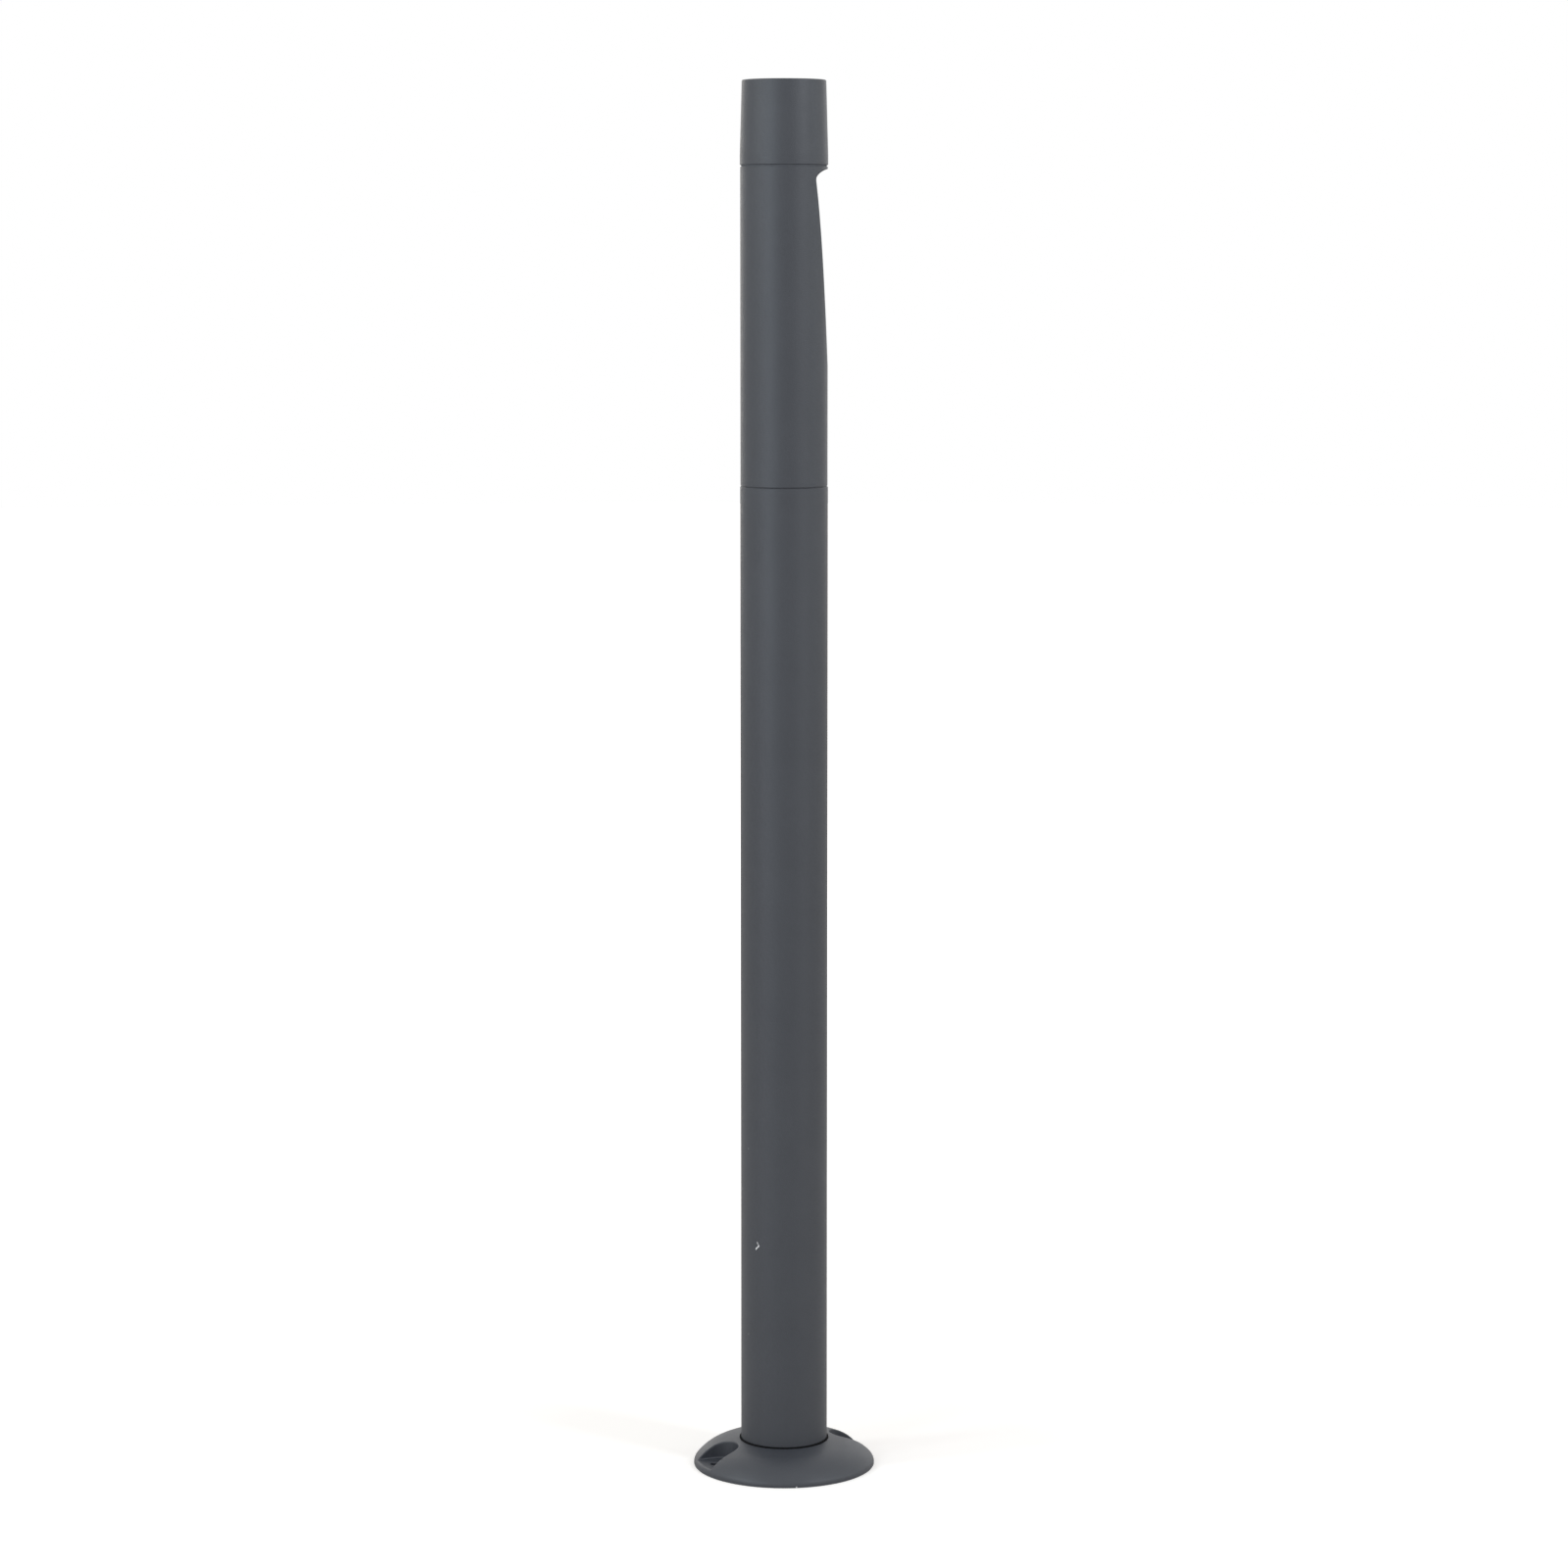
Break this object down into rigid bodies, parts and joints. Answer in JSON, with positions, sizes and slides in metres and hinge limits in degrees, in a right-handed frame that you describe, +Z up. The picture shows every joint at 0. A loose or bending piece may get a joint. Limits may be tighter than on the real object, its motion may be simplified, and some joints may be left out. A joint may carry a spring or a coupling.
{
  "type": "garden post light",
  "caption": "Slim round post light on a domed bolt-down foot, with a scooped lamp head that shines down to one side under a tapered cap.",
  "frame": {"origin": "centre of the foot's underside, on the ground", "axes": "+Z up along the post, +X the way the light shines out of the scoop, +Y to its left"},
  "size_m": [0.1316, 0.1316, 1],
  "materials": {
    "coated_casting": "satin",
    "coated_extrusion": "satin",
    "blackened_screw": "satin",
    "black_rubber": "matte",
    "frosted_lens": "satin",
    "bare_aluminium": "satin",
    "polished_aluminium": "polished",
    "zinc_steel": "satin",
    "chip_phosphor": "matte",
    "white_board": "gloss",
    "grey_pad": "matte",
    "pale_housing": "satin",
    "brass": "satin",
    "white_sheath": "satin",
    "black_sheath": "satin",
    "green_sheath": "satin",
    "black_nylon": "satin"
  },
  "bodies": {
    "root": {"foot": "coated_casting", "lamp_head": "coated_casting", "head_cap": "coated_casting", "post_tube": "coated_extrusion", "post_screws": "blackened_screw", "cap_gasket": "black_rubber", "lens_gasket": "black_rubber", "lead_grommet": "black_rubber", "joint_seal": "black_rubber", "gland_seal": "black_rubber", "lens": "frosted_lens", "lens_ring": "bare_aluminium", "led_carrier": "bare_aluminium", "driver_bracket": "bare_aluminium", "terminal_bracket": "bare_aluminium", "reflector": "polished_aluminium", "lens_ring_screws": "zinc_steel", "board_screws": "zinc_steel", "carrier_screws": "zinc_steel", "cap_screws": "zinc_steel", "driver_screws": "zinc_steel", "bracket_screws": "zinc_steel", "terminal_bracket_screws": "zinc_steel", "earth_screw": "zinc_steel", "led_chip": "chip_phosphor", "led_board": "white_board", "thermal_pad": "grey_pad", "driver": "pale_housing", "terminal_block": "pale_housing", "terminal_screws": "brass", "earth_lug": "brass", "led_lead": "white_sheath", "supply_lead": "black_sheath", "earth_lead": "green_sheath", "cable_gland": "black_nylon", "gland_locknut": "black_nylon", "gland_cap": "black_nylon"}
  },
  "joints": []
}
